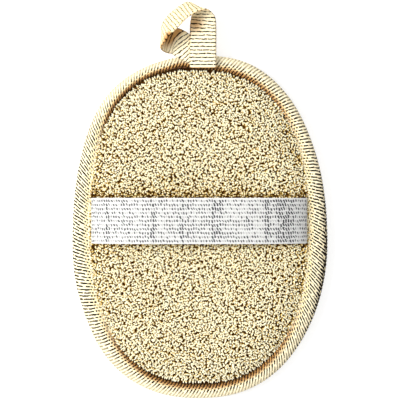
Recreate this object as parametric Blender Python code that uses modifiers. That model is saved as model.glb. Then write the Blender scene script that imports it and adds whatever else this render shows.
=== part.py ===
"""Loofah bath pad: an oval terry and loofah pad with a bound rim, a hand strap and a hanging loop.

The pad lies on its loofah face. +Z is up, +Y runs to the hanging loop and +X to the right.
The origin is under the middle of the whole part, at the surface that it lies on.
"""

import math
import random

import bmesh
import bpy
import numpy as np
from mathutils import Matrix, Vector

MM = 0.001

# Driving dimensions
PAD_WIDTH = 112.2 * MM
PAD_LENGTH = 150.4 * MM
PAD_ROUNDNESS = 2.3
LOOP_REACH = 25.3 * MM
CLEAR = 0.3 * MM

# Binding tape, folded over the rim
BINDING_WIDTH = 8.8 * MM
BINDING_TOP = 9.4 * MM
BINDING_BOTTOM = 1.8 * MM
BINDING_POCKET = 3.0 * MM
BINDING_LIP_DROP = 1.1 * MM
BINDING_CREST = 0.55
BINDING_SHOULDER = 0.16
BINDING_RIBS = 84
BINDING_RIB_HEIGHT = 0.5 * MM
BINDING_RIB_SKEW = math.radians(20)

# Terry face
TERRY_TOP = 14.0 * MM
TERRY_THICKNESS = 1.6 * MM
TERRY_EDGE_TOP = 7.3 * MM
TERRY_SHOULDER = 34.0 * MM
TERRY_ROUNDNESS = 4
TERRY_STEEPNESS = 0.75
TERRY_PILE = 0.45 * MM
TERRY_PILE_FULL = 46 * MM
TERRY_STEPS = 72


# Loofah face
LOOFAH_THICKNESS = 2.4 * MM
LOOFAH_EDGE_BOTTOM = 3.9 * MM
LOOFAH_EDGE_THICKNESS = 1.5 * MM
LOOFAH_ROLL_START = 13.5 * MM
LOOFAH_ROLL = 12.0 * MM
NET_CELL = 3.4 * MM
NET_STRETCH = 1.25
NET_JITTER = 1.05 * MM
NET_RIDGE = 0.65 * MM
NET_DEPTH = 1.0 * MM
NET_WELD = 0.2 * MM
REST_SPOT = 3.0 * MM
LOOFAH_STEPS = 72
SEED = 7

# Foam core, which ends inside the seam
FOAM_STEPS = 36
FOAM_SHORT = 1.2 * MM

# Hand strap
STRAP_WIDTH = 20.0 * MM
STRAP_OFFSET = 2.8 * MM
STRAP_THICKNESS = 1.2 * MM
STRAP_END_BOTTOM = 7.9 * MM
STRAP_CROWN_BOTTOM = 20.5 * MM
STRAP_FLATNESS = 3.5
STRAP_SHOULDER = 0.6
STRAP_CORDS = 4
STRAP_CORD_HEIGHT = 0.2 * MM
STRAP_STEPS = 24

# Hanging loop, made of the binding's tape
TAPE_WIDTH = 11.7 * MM
TAPE_THICKNESS = 1.0 * MM
LOOP_STEPS = 50
LOOP_ACROSS = 4

# How far in from the rim each layer's rings lie
SEAM_INSET = BINDING_WIDTH + 0.4 * MM
LAYER_EDGE = BINDING_POCKET + CLEAR
TERRY_TOP_RINGS = [d * MM for d in (10.2, 11.8, 14, 17, 20.5, 24.5, 28.5, 32.5, 36.5, 41, 45.5, 50)]
COARSE_RINGS = [d * MM for d in (12, 16, 22, 32, 46)]

# The rim as it was sewn, round from the right by angle in degrees: how far the outline stands outside the even
# oval, and how far in the tape's edge lies on the terry side, both in millimetres
RIM_STATIONS = (
    (-180, 0.1, 8.8),
    (-160, 0.5, 8.8),
    (-140, 0.3, 8.3),
    (-122, 1.0, 7.0),
    (-105, 0.4, 6.2),
    (-88, 0.1, 5.9),
    (-70, 0.1, 6.2),
    (-50, 0.2, 7.4),
    (-30, 0.6, 8.5),
    (-15, 0.6, 8.8),
    (0, 0.1, 8.8),
    (22, -0.4, 8.5),
    (40, -0.9, 8.0),
    (58, -0.1, 7.0),
    (74, 0.9, 6.2),
    (90, 0.5, 5.8),
    (108, 0.3, 4.9),
    (126, 1.0, 5.3),
    (138, 0.3, 6.8),
    (150, -0.4, 8.4),
    (165, -0.3, 8.8),
)

HALF_WIDTH = PAD_WIDTH / 2
HALF_LENGTH = PAD_LENGTH / 2
PAD_Y = -LOOP_REACH / 2
FOLD_HEIGHT = (BINDING_TOP + BINDING_BOTTOM) / 2
STRAP_REACH = HALF_WIDTH - BINDING_WIDTH - CLEAR
TURNED_REACH = 1.0
CREASE = math.radians(40)
WELD = 0.0001 * MM
NUDGE = 0.001 * MM


def srgb(red, green, blue):
    """A colour given as 0 to 255 screen values, in linear light."""
    return tuple((c / 255) ** 2.2 for c in (red, green, blue)) + (1.0,)


def clear_scene():
    for old in list(bpy.data.objects):
        bpy.data.objects.remove(old, do_unlink=True)


def new_collection(name):
    collection = bpy.data.collections.new(name)
    bpy.context.scene.collection.children.link(collection)
    return collection


def material(name, colour, roughness):
    finish = bpy.data.materials.new(name)
    finish.use_nodes = True
    shader = finish.node_tree.nodes["Principled BSDF"]
    shader.inputs["Base Color"].default_value = colour
    shader.inputs["Roughness"].default_value = roughness
    shader.inputs["Metallic"].default_value = 0.0
    return finish


def add_object(name, bm, collection, finish=None):
    """Turns a bmesh into a named object with its normals out."""
    bmesh.ops.recalc_face_normals(bm, faces=bm.faces)
    mesh = bpy.data.meshes.new(name)
    bm.to_mesh(mesh)
    bm.free()
    mesh.shade_smooth()
    mesh.set_sharp_from_angle(angle=CREASE)
    if finish:
        mesh.materials.append(finish)
    obj = bpy.data.objects.new(name, mesh)
    collection.objects.link(obj)
    return obj


def evaluated_copy(obj):
    """The object's mesh with its modifiers applied."""
    graph = bpy.context.evaluated_depsgraph_get()
    return bpy.data.meshes.new_from_object(obj.evaluated_get(graph))


def rim_point(angle):
    """The point of the pad's outline, a superellipse, in the direction of angle."""
    across = abs(math.cos(angle)) / HALF_WIDTH
    along = abs(math.sin(angle)) / HALF_LENGTH
    radius = (across**PAD_ROUNDNESS + along**PAD_ROUNDNESS) ** (-1 / PAD_ROUNDNESS)
    return Vector((radius * math.cos(angle), radius * math.sin(angle), 0))


def rim_gradient(x, y):
    """How fast the outline's own measure, 0 in the middle and 1 at the rim, grows at a point."""
    measure = rim_measure(x, y)
    slope_x = abs(x / HALF_WIDTH / measure) ** (PAD_ROUNDNESS - 1) / HALF_WIDTH
    slope_y = abs(y / HALF_LENGTH / measure) ** (PAD_ROUNDNESS - 1) / HALF_LENGTH
    return Vector((math.copysign(slope_x, x), math.copysign(slope_y, y), 0))


def rim_measure(x, y):
    total = abs(x / HALF_WIDTH) ** PAD_ROUNDNESS + abs(y / HALF_LENGTH) ** PAD_ROUNDNESS
    return max(total ** (1 / PAD_ROUNDNESS), 1e-6)


def inset_of(x, y):
    """How far a point lies inside the rim, in metres, with the pad's middle at 0, 0."""
    return (1 - rim_measure(x, y)) / rim_gradient(x, y).length


def even_angle_map(samples=2880):
    """Directions whose rim points lie at equal steps of length, as a lookup from 0..1."""
    angles = np.linspace(0, 2 * math.pi, samples + 1)
    points = np.array([rim_point(a)[:2] for a in angles])
    run = np.concatenate([[0], np.cumsum(np.linalg.norm(np.diff(points, axis=0), axis=1))])
    return run / run[-1], angles, run[-1]


RIM_SHARE, RIM_ANGLE, RIM_GIRTH = even_angle_map()


def rim_angle(share):
    """The direction of the rim point that lies this share of the way round."""
    return float(np.interp(share % 1.0, RIM_SHARE, RIM_ANGLE))


def rim_as_sewn(angle):
    """How far the outline stands outside the oval, and how far in the tape's edge lies on the terry side."""
    turns, stands, edges = zip(*RIM_STATIONS)
    turn = math.degrees(angle)
    stand = float(np.interp(turn, turns, stands, period=360))
    edge = float(np.interp(turn, turns, edges, period=360))
    return stand * MM, edge * MM


def terry_height(inset):
    """Height of the terry's face: flat in the middle, and rolled down to the seam."""
    run = min(max((inset - SEAM_INSET) / TERRY_SHOULDER, 0.0), 1.0)
    rise = (1 - (1 - run) ** TERRY_ROUNDNESS) ** TERRY_STEEPNESS
    return TERRY_EDGE_TOP + (TERRY_TOP - TERRY_EDGE_TOP) * rise


def loofah_run(inset):
    return min(max((inset - LOOFAH_ROLL_START) / LOOFAH_ROLL, 0.0), 1.0)


def loofah_bottom(inset):
    """Height of the loofah's underside: on the ground, and rolled up to the seam."""
    return LOOFAH_EDGE_BOTTOM * (1 - loofah_run(inset)) ** 2


def loofah_thickness(inset):
    thicker = LOOFAH_THICKNESS - LOOFAH_EDGE_THICKNESS
    return LOOFAH_EDGE_THICKNESS + thicker * loofah_run(inset)


def spun(profile, steps):
    """A closed turned shape: (radius, height) points spun round Z, on or off the axis."""
    bm = bmesh.new()
    points = [bm.verts.new((radius, 0, height)) for radius, height in profile]
    ends_on_axis = profile[0][0] == 0
    pairs = zip(points, points[1:] if ends_on_axis else points[1:] + points[:1])
    edges = [bm.edges.new(pair) for pair in pairs]
    bmesh.ops.spin(
        bm,
        geom=points + edges,
        axis=(0, 0, 1),
        cent=(0, 0, 0),
        angle=2 * math.pi,
        steps=steps,
        use_merge=True,
    )
    bmesh.ops.remove_doubles(bm, verts=bm.verts, dist=WELD)
    return bm


def pressed_layer(profile, steps):
    """A turned disc pressed out to the pad's oval. The profile holds (inset, height) pairs.

    A pair whose inset is None lies on the pad's middle. The disc is turned with the inset in
    place of the radius, and each point then goes to its inset from the real rim.
    """
    turned = [(0 if inset is None else TURNED_REACH - inset, height) for inset, height in profile]
    bm = spun(turned, steps)
    for vert in bm.verts:
        radius = math.hypot(vert.co.x, vert.co.y)
        if radius < NUDGE:
            vert.co.y = PAD_Y
            continue
        share = math.atan2(vert.co.y, vert.co.x) / (2 * math.pi)
        rim = rim_point(rim_angle(share))
        support = 1 / rim_gradient(rim.x, rim.y).length
        place = rim * (1 - (TURNED_REACH - radius) / support)
        vert.co = Vector((place.x, place.y + PAD_Y, vert.co.z))
    return bm


def make_terry_face(collection):
    """The terry cloth on the upper side, with its pile as a low pebbled relief."""
    top = [(None, TERRY_TOP)]
    top += [(inset, terry_height(inset)) for inset in reversed(TERRY_TOP_RINGS)]
    top += [(SEAM_INSET, TERRY_EDGE_TOP), (LAYER_EDGE, TERRY_EDGE_TOP)]
    under = [(LAYER_EDGE, TERRY_EDGE_TOP - TERRY_THICKNESS)]
    under += [(SEAM_INSET, TERRY_EDGE_TOP - TERRY_THICKNESS)]
    under += [(inset, terry_height(inset) - TERRY_THICKNESS) for inset in COARSE_RINGS]
    under += [(None, TERRY_TOP - TERRY_THICKNESS)]
    bm = pressed_layer(top + under, TERRY_STEPS)
    draw = random.Random(SEED)
    for vert in bm.verts:
        inset = inset_of(vert.co.x, vert.co.y - PAD_Y)
        on_face = vert.co.z > terry_height(inset) - TERRY_THICKNESS / 2
        if on_face and inset > SEAM_INSET + CLEAR:
            out = math.hypot(vert.co.x, vert.co.y - PAD_Y)
            vert.co.z += TERRY_PILE * min(out / TERRY_PILE_FULL, 1) * draw.uniform(-1, 1)
    return add_object("terry_face", bm, collection, material("terry", srgb(222, 206, 168), 0.95))


def make_foam_core(collection):
    """The soft sheet between the two faces, cut short of the seam."""
    gap = TERRY_THICKNESS + 2 * CLEAR
    edge = SEAM_INSET + FOAM_SHORT
    rings = [edge] + [inset for inset in COARSE_RINGS if inset > edge]
    top = [(None, TERRY_TOP - gap)]
    top += [(inset, terry_height(inset) - gap) for inset in reversed(rings)]
    under = [(inset, loofah_bottom(inset) + loofah_thickness(inset) + 2 * CLEAR) for inset in rings]
    under += [(None, LOOFAH_THICKNESS + 2 * CLEAR)]
    bm = pressed_layer(top + under, FOAM_STEPS)
    return add_object("foam_core", bm, collection, material("foam", srgb(240, 236, 224), 0.9))


def make_edge_binding(collection):
    """The tape folded over the rim: a C-shaped section with ribs laid aslant across it."""
    width, top, bottom = BINDING_WIDTH, BINDING_TOP, BINDING_BOTTOM
    height = top - bottom
    outer = [
        (-width, top - BINDING_LIP_DROP),
        (-BINDING_CREST * width, top),
        (-BINDING_SHOULDER * width, top - BINDING_SHOULDER * height),
        (0, FOLD_HEIGHT),
        (-BINDING_SHOULDER * width, bottom + BINDING_SHOULDER * height),
        (-BINDING_CREST * width, bottom),
        (-width, bottom + BINDING_LIP_DROP),
    ]
    slot_top = TERRY_EDGE_TOP + CLEAR
    slot_bottom = LOOFAH_EDGE_BOTTOM - CLEAR
    inner = [
        (-width, slot_bottom),
        (-BINDING_POCKET, slot_bottom),
        (-BINDING_POCKET, slot_top),
        (-width, slot_top),
    ]
    steps = 2 * BINDING_RIBS
    bm = spun([(TURNED_REACH + inset, level) for inset, level in outer + inner], steps)
    for vert in bm.verts:
        inset = math.hypot(vert.co.x, vert.co.y) - TURNED_REACH
        share = math.atan2(vert.co.y, vert.co.x) / (2 * math.pi)
        trough = round(share * steps) % 2 == 1
        level = vert.co.z
        outside = level > slot_top + CLEAR or level < slot_bottom - CLEAR or inset > -CLEAR
        lean = math.tan(BINDING_RIB_SKEW) * -inset / RIM_GIRTH
        side = 1 if level > FOLD_HEIGHT else -1
        rim = rim_point(rim_angle(share + side * lean))
        outward = rim_gradient(rim.x, rim.y).normalized()
        stand, edge = rim_as_sewn(math.atan2(rim.y, rim.x))
        if level > FOLD_HEIGHT and inset < -BINDING_POCKET - CLEAR:
            inset *= edge / width
        if outside:
            inset += stand * (1 + inset / width)
        place = rim + outward * inset
        if outside and trough:
            across = Vector((inset + width / 2, 0, level - FOLD_HEIGHT)).normalized()
            place -= outward * across.x * BINDING_RIB_HEIGHT
            level -= across.z * BINDING_RIB_HEIGHT
        vert.co = Vector((place.x, place.y + PAD_Y, level))
    return add_object("edge_binding", bm, collection, material("tape", srgb(226, 208, 170), 0.85))


def net_of_cells():
    """A sheet of jittered six-sided cells, long way along Y, with the cells' floors sunk in."""
    bm = bmesh.new()
    draw = random.Random(SEED)
    step_x = math.sqrt(3) * NET_CELL
    step_y = 1.5 * NET_CELL * NET_STRETCH
    columns = math.ceil(HALF_WIDTH / step_x) + 1
    rows = math.ceil(HALF_LENGTH / step_y) + 1
    stretch = Matrix.Diagonal((1, NET_STRETCH, 1, 1))
    for row in range(-rows, rows + 1):
        for column in range(-columns, columns + 1):
            middle = ((column + 0.5 * (row % 2)) * step_x, row * step_y, 0)
            bmesh.ops.create_circle(
                bm,
                cap_ends=True,
                segments=6,
                radius=NET_CELL,
                matrix=Matrix.Translation(middle) @ stretch,
            )
    bmesh.ops.remove_doubles(bm, verts=bm.verts, dist=NET_WELD)
    for vert in bm.verts:
        if not vert.is_boundary:
            vert.co.x += draw.uniform(-1, 1) * NET_JITTER
            vert.co.y += draw.uniform(-1, 1) * NET_JITTER * NET_STRETCH
    return bm


def make_loofah_face(collection, cutters):
    """The loofah mat under the pad: a raised net of fibres, with one small plain spot to rest on."""
    bm = net_of_cells()
    outer_edges = [edge for edge in bm.edges if edge.is_boundary]
    wall = bmesh.ops.extrude_edge_only(bm, edges=outer_edges)["geom"]
    raised = [item for item in wall if isinstance(item, bmesh.types.BMVert)]
    bmesh.ops.translate(bm, verts=raised, vec=(0, 0, 2 * LOOFAH_THICKNESS))
    lid = [item for item in wall if isinstance(item, bmesh.types.BMEdge)]
    bmesh.ops.contextual_create(bm, geom=lid)
    bmesh.ops.recalc_face_normals(bm, faces=bm.faces)
    cells = []
    for face in bm.faces:
        middle = face.calc_center_median()
        inset = inset_of(middle.x + NUDGE, middle.y + NUDGE)
        if face.normal.z < -0.5 and inset > SEAM_INSET + NET_CELL and middle.length > REST_SPOT:
            cells.append(face)
    bmesh.ops.inset_individual(bm, faces=cells, thickness=NET_RIDGE, depth=-NET_DEPTH)
    bmesh.ops.triangulate(bm, faces=[face for face in bm.faces if len(face.verts) > 4])
    net = add_object("loofah_net_blank", bm, cutters)
    net.location = (0, PAD_Y, 0)
    net.hide_render = True
    net.display_type = "WIRE"

    edge = [(LAYER_EDGE, LOOFAH_THICKNESS), (LAYER_EDGE, -LOOFAH_THICKNESS)]
    rings = [(inset, LOOFAH_THICKNESS) for inset in reversed([SEAM_INSET] + COARSE_RINGS)]
    profile = [(None, LOOFAH_THICKNESS)] + rings + edge + [(None, -LOOFAH_THICKNESS)]
    blank = add_object("loofah_outline", pressed_layer(profile, LOOFAH_STEPS), cutters)
    trim = blank.modifiers.new("trim to the net", "BOOLEAN")
    trim.operation = "INTERSECT"
    trim.object = net
    rolled = bmesh.new()
    mesh = evaluated_copy(blank)
    rolled.from_mesh(mesh)
    bpy.data.meshes.remove(mesh)
    bpy.data.objects.remove(blank, do_unlink=True)
    bpy.data.objects.remove(net, do_unlink=True)
    bmesh.ops.remove_doubles(rolled, verts=rolled.verts, dist=NUDGE)
    for vert in rolled.verts:
        inset = inset_of(vert.co.x + NUDGE, vert.co.y - PAD_Y + NUDGE)
        share = vert.co.z / LOOFAH_THICKNESS
        vert.co.z = loofah_bottom(inset) + share * loofah_thickness(inset)
    finish = material("loofah", srgb(205, 178, 122), 0.8)
    return add_object("loofah_face", rolled, collection, finish)


def strap_height(x):
    """Height of the strap's underside: sewn low at both ends and flat-topped between."""
    share = min(abs(x) / STRAP_REACH, 1.0)
    rise = STRAP_CROWN_BOTTOM - STRAP_END_BOTTOM
    return STRAP_END_BOTTOM + rise * (1 - share**STRAP_FLATNESS) ** STRAP_SHOULDER


def make_hand_strap(collection):
    """The elastic band across the pad, arched up for a hand, with low cords along its length."""
    bm = bmesh.new()
    across = 2 * STRAP_CORDS
    bmesh.ops.create_grid(bm, x_segments=STRAP_STEPS, y_segments=across, size=1)
    for vert in bm.verts:
        turn = vert.co.x * math.pi / 2
        x = STRAP_REACH * math.sin(turn)
        crest = round((vert.co.y + 1) / 2 * across) % 2
        height = strap_height(x) + STRAP_CORD_HEIGHT * (crest - 1)
        y = PAD_Y + STRAP_OFFSET + vert.co.y * STRAP_WIDTH / 2
        vert.co = Vector((x, y, height + STRAP_THICKNESS / 2))
    finish = material("elastic", srgb(232, 231, 225), 0.7)
    strap = add_object("hand_strap", bm, collection, finish)
    body = strap.modifiers.new("body", "SOLIDIFY")
    body.thickness = STRAP_THICKNESS
    body.offset = 0
    return strap


def loop_stations():
    """The hanging tape's route from seam to seam: middle point and direction of its width.

    Points are in millimetres from the pad's middle, and heights are above the ground.
    """
    return [
        ((1.7, 68.6, 11.5), (1, 0, 0)),
        ((1.7, 75.0, 11.6), (1, 0, 0)),
        ((1.7, 83.0, 12.0), (1, 0, 0)),
        ((1.75, 89.5, 12.8), (0.99, -0.05, 0.12)),
        ((1.7, 94.5, 14.4), (0.88, -0.22, 0.42)),
        ((-0.1, 97.6, 16.8), (0.65, -0.35, 0.67)),
        ((-3.2, 97.4, 18.2), (0.50, -0.42, 0.76)),
        ((-6.1, 95.7, 18.4), (0.41, -0.47, 0.785)),
        ((-11.7, 91.0, 18.0), (0.42, -0.52, 0.74)),
        ((-15.1, 86.8, 16.6), (0.20, -0.63, 0.75)),
        ((-16.3, 84.0, 14.2), (-0.06, -0.85, 0.53)),
        ((-13.8, 82.6, 11.2), (-0.14, -0.98, 0.12)),
        ((-10.5, 81.7, 10.3), (-0.27, -0.96, 0)),
        ((-6.3, 79.2, 10.2), (-0.32, -0.947, 0)),
        ((-2.0, 77.0, 10.2), (-0.52, -0.86, 0)),
        ((1.0, 74.0, 10.2), (-0.80, -0.60, 0)),
        ((2.0, 68.8, 10.2), (-1, 0, 0)),
    ]


def smooth_run(values, share):
    """A Catmull-Rom curve through the values, at a share of the way along."""
    last = len(values) - 1
    place = share * last
    index = min(int(place), last - 1)
    t = place - index
    before, here, there, after = (
        values[min(max(index + k, 0), last)] for k in (-1, 0, 1, 2)
    )
    return 0.5 * (
        2 * here
        + (there - before) * t
        + (2 * before - 5 * here + 4 * there - after) * t**2
        + (3 * here - before - 3 * there + after) * t**3
    )


def make_hanging_loop(collection):
    """The tape loop at the top: a ribbon swept along its route, both ends sewn on the rim."""
    middles = [Vector(middle) * MM for middle, width in loop_stations()]
    widths = [Vector(width) for middle, width in loop_stations()]
    bm = bmesh.new()
    bmesh.ops.create_grid(bm, x_segments=LOOP_STEPS, y_segments=LOOP_ACROSS, size=1)
    for vert in bm.verts:
        share = (vert.co.x + 1) / 2
        side = smooth_run(widths, share).normalized()
        place = smooth_run(middles, share) + side * vert.co.y * TAPE_WIDTH / 2
        vert.co = Vector((place.x, place.y + PAD_Y, place.z))
    finish = material("loop tape", srgb(230, 212, 176), 0.85)
    loop = add_object("hanging_loop", bm, collection, finish)
    body = loop.modifiers.new("body", "SOLIDIFY")
    body.thickness = TAPE_THICKNESS
    body.offset = 0
    return loop


def main():
    clear_scene()
    part = new_collection("loofah_bath_pad")
    cutters = new_collection("cutters")
    cutters.hide_render = True
    make_terry_face(part)
    make_foam_core(part)
    make_loofah_face(part, cutters)
    make_edge_binding(part)
    make_hand_strap(part)
    make_hanging_loop(part)


main()
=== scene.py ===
"""A sewn oval bath pad: terry cloth above, a pressed loofah mat below, ribbed tape round the rim, an elastic
hand strap across it and a hanging loop of the same tape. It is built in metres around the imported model.
"""

import math

import bpy
import numpy as np
from bpy.props import FloatProperty, FloatVectorProperty, IntProperty, PointerProperty
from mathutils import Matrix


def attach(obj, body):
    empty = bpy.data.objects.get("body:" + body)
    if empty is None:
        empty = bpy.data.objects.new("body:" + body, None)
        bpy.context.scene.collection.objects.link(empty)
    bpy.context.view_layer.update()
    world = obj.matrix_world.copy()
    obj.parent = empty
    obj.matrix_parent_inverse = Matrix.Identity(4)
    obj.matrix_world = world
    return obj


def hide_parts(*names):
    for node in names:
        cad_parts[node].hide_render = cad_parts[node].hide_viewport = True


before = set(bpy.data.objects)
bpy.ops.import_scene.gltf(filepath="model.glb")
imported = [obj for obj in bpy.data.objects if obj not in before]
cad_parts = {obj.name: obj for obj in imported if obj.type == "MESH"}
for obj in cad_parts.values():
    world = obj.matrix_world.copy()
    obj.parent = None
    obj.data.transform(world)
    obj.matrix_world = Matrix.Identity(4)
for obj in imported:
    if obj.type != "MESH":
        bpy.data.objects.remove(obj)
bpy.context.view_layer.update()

bl_info = {
    "name": "Loofah bath pad",
    "version": (1, 0, 0),
    "blender": (4, 5, 0),
    "location": "View3D > Sidebar > Bath pad",
    "description": "Makes a terry and loofah bath pad with a hand strap and a hanging loop",
    "category": "Add Mesh",
}

MM = 0.001
BODY = "root"
UPWARDS = np.array([[0.0, 0.0, 1.0]])

# Room between one layer of the pad and the next
CLEAR = 0.3 * MM

# How far the ground cloth, and the feet of its loops, lie under the terry's even height
GROUND_SINK = 0.35 * MM
FOOT_SINK = 0.55 * MM

# Stations along each rib of the tapes, steps across the rim's tape, and the stitches in each row
RIB_STATIONS = 8
BINDING_STEPS = 30
STITCHES = 160

# Points along each pile loop, loofah fibre and stitch
LOOP_POINTS = 5
FIBRE_POINTS = 9
STITCH_POINTS = 5

# Samples of the rim, the strap and the loop, from which even steps are measured off
RIM_SAMPLES = 20001
STRAP_SAMPLES = 4001
LOOP_SAMPLES = 3000

# Stations along the strap, steps across each of its cords, and points across each face of the loop
STRAP_STATIONS = 300
CORD_STEPS = 6
LOOP_ACROSS = 17

# From one row of pile loops to the next, and how far a loop stands off its place, as shares of the spacing
ROW_STEP = 0.866
SCATTER = 0.13

# The mat's underside: how far in from the rim its edge lies, how wide its curved border is and how high
MAT_EDGE = 13.5 * MM
MAT_BORDER = 12 * MM
MAT_RISE = 3.9 * MM

# Above this height, the folded tape shows on the terry side
TAPE_SHOWS = 5.6 * MM

# Half the floor's side, and how far it lies under the pad
FLOOR_REACH = 3.0
FLOOR_DROP = 0.3 * MM

# The rim as it was sewn, by angle in degrees from the right: how far the outline stands outside an even oval
# and how far in the tape's inner edge lies, both in millimetres, and how open the groove inside it is.
RIM_STATIONS = (
    (-180, 0.0, 8.8, 0.0),
    (-160, 0.5, 8.8, 0.0),
    (-140, 0.3, 8.3, 0.2),
    (-122, 1.0, 7.0, 0.7),
    (-105, 0.7, 6.2, 1.0),
    (-88, 0.5, 5.9, 1.0),
    (-70, 0.4, 6.2, 1.0),
    (-50, 0.2, 7.4, 0.6),
    (-30, 0.7, 8.5, 0.1),
    (-15, 0.9, 8.8, 0.0),
    (5, 0.3, 8.8, 0.0),
    (22, -0.4, 8.5, 0.1),
    (40, -0.9, 8.0, 0.3),
    (58, -0.1, 7.0, 0.7),
    (74, 0.9, 6.2, 0.9),
    (90, 0.5, 5.8, 1.0),
    (108, 0.3, 4.9, 1.0),
    (126, 1.0, 5.3, 0.9),
    (138, 0.3, 6.8, 0.4),
    (150, -0.4, 8.4, 0.1),
    (165, -0.3, 8.8, 0.0),
)

# The hanging loop's tape from its front end to its back end: the middle of the tape, measured from the pad's
# middle in millimetres, and the way that its width runs.
LOOP_STATIONS = (
    ((1.7, 69.6, 11.5), (1, 0, 0)),
    ((1.7, 75.0, 11.6), (1, 0, 0)),
    ((1.7, 82.0, 12.0), (1, 0, 0)),
    ((1.75, 87.8, 12.8), (0.99, -0.05, 0.12)),
    ((1.7, 92.6, 14.4), (0.88, -0.22, 0.42)),
    ((-0.2, 95.8, 16.8), (0.65, -0.35, 0.67)),
    ((-3.3, 95.8, 18.2), (0.50, -0.42, 0.76)),
    ((-6.3, 94.2, 18.4), (0.41, -0.47, 0.785)),
    ((-11.8, 89.4, 18.0), (0.42, -0.52, 0.74)),
    ((-15.2, 85.2, 16.6), (0.20, -0.63, 0.75)),
    ((-16.4, 82.8, 14.2), (-0.06, -0.85, 0.53)),
    ((-13.8, 82.0, 11.2), (-0.14, -0.98, 0.12)),
    ((-10.5, 81.7, 10.3), (-0.27, -0.96, 0)),
    ((-6.3, 79.2, 10.2), (-0.32, -0.947, 0)),
    ((-2.0, 77.0, 10.2), (-0.52, -0.86, 0)),
    ((0.6, 75.0, 10.2), (-0.80, -0.60, 0)),
    ((1.8, 71.6, 10.2), (-1, 0, 0)),
)

# How far the ribs lean on the back strand of the hanging loop, as a slope, and where that strand is browned
# with painted shade under the strip above it
LOOP_LEAN = 0.36
LOOP_SHADED = ((-8.6, 87.0), (-10.8, 84.8), (-13.0, 82.6))

# Where the elastic's ticks stand taller, from its left seam, and how far to each side, in millimetres
STRAP_COLUMNS = ((11.5, 1.2), (31.5, 1.5), (44.0, 1.2), (57.5, 1.0), (81.0, 1.6), (88.5, 5.5))


def length_setting(name, description, millimetres):
    length = millimetres * MM
    return FloatProperty(name=name, description=description, default=length, unit="LENGTH", precision=5)


def colour_setting(name, description, colour):
    return FloatVectorProperty(
        name=name, description=description, default=colour, subtype="COLOR", size=3, min=0, max=1
    )


class PadSettings(bpy.types.PropertyGroup):
    """The pad's outline, which every piece follows."""

    width: length_setting("Width", "Side to side, over the tape", 112.2)
    length: length_setting("Length", "Top to bottom, without the loop", 150.4)
    roundness: FloatProperty(name="Roundness", description="2 is an ellipse and more is squarer", default=2.3)
    middle_y: length_setting("Middle", "Where the pad's middle lies along Y", -12.65)


class TerrySettings(bpy.types.PropertyGroup):
    """The terry cloth on the upper side."""

    crown: length_setting("Crown", "Height of the cloth in the pad's middle", 13.6)
    edge: length_setting("Edge", "Height of the cloth where the tape grips it", 7.3)
    shoulder: length_setting("Shoulder", "How far the cloth climbs inwards from the tape", 34)
    thickness: length_setting("Cloth", "Thickness of the ground cloth", 1.6)
    spacing: length_setting("Spacing", "Distance between pile loops", 0.77)
    yarn: length_setting("Yarn", "Radius of the pile yarn", 0.295)
    loop_span: length_setting("Loop span", "Distance between a loop's two feet", 1.02)
    loop_height: length_setting("Loop height", "Height of a loop over the ground cloth", 1.2)
    seed: IntProperty(name="Seed", description="Picks another scatter of loops", default=11)
    # The pile's colours carry painted light: cream is the yarn at its crowns, tan is painted shade on the
    # loops' sides, the foot colour is painted shade down among the loops, and the ground's near black is
    # painted shade on the ground cloth between them.
    cream: colour_setting("Loop tops", "Colour of the pile at its crowns", (1.0, 0.94, 0.71))
    tan: colour_setting("Loop sides", "Colour of the pile on its loops' sides", (0.86, 0.59, 0.16))
    shade: colour_setting("Pile foot", "Colour of the pile down among its loops", (0.13, 0.055, 0.005))
    ground: colour_setting("Ground", "Colour of the ground cloth", (0.035, 0.012, 0.001))


class BindingSettings(bpy.types.PropertyGroup):
    """The tape that is folded round the rim."""

    under_width: length_setting("Width under", "How far the tape reaches in on the underside", 8.8)
    top: length_setting("Top", "Height of the tape's crest", 9.4)
    bottom: length_setting("Bottom", "Height of the tape's underside", 1.8)
    pocket: length_setting("Pocket", "How far in from the rim the gripped layers end", 3.0)
    ribs: IntProperty(name="Ribs", description="Ribs round the whole rim", default=278)
    rib_height: length_setting("Rib height", "How far a rib stands over its grooves", 0.42)
    rib_lean: FloatProperty(
        name="Rib lean",
        description="Turn of the ribs from straight across",
        default=math.radians(30),
        unit="ROTATION",
    )
    cream: colour_setting("Tape", "Colour of the ribs", (0.92, 0.87, 0.69))
    groove: colour_setting("Grooves", "Colour between the ribs", (0.010, 0.006, 0.003))
    # The inner slope's brown and the seam's near black are painted shade, down in the seam's groove.
    umber: colour_setting("Inner slope", "Colour of the tape on its way down to the seam", (0.42, 0.20, 0.05))
    seam: colour_setting("Seam", "Colour of the tape deep in the seam's groove", (0.045, 0.017, 0.002))


class StrapSettings(bpy.types.PropertyGroup):
    """The woven elastic hand strap."""

    reach: length_setting("Reach", "Half the distance between its two seams", 47.0)
    offset: length_setting("Offset", "How far above the pad's middle it crosses", 2.8)
    width: length_setting("Width", "Across the strap", 20.0)
    thickness: length_setting("Thickness", "Of the elastic", 1.2)
    seam_height: length_setting("Seam height", "Height of its underside at the seams", 7.9)
    crown: length_setting("Crown", "Height of its underside in the middle", 20.5)
    cords: IntProperty(name="Cords", description="Rubber cords woven in side by side", default=11)
    cord_height: length_setting("Cord height", "How far a cord stands up", 0.16)
    white: colour_setting("White", "Colour of the bleached yarn", (0.605, 0.605, 0.595))
    grey: colour_setting("Gaps", "Colour between the yarns", (0.03, 0.03, 0.034))


class LoopSettings(bpy.types.PropertyGroup):
    """The hanging loop of tape."""

    width: length_setting("Width", "Across the tape", 11.7)
    thickness: length_setting("Thickness", "Of the tape", 1.0)
    rib_pitch: length_setting("Rib pitch", "From rib to rib along the tape", 1.62)
    rib_height: length_setting("Rib height", "How far a rib stands up", 0.17)


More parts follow.
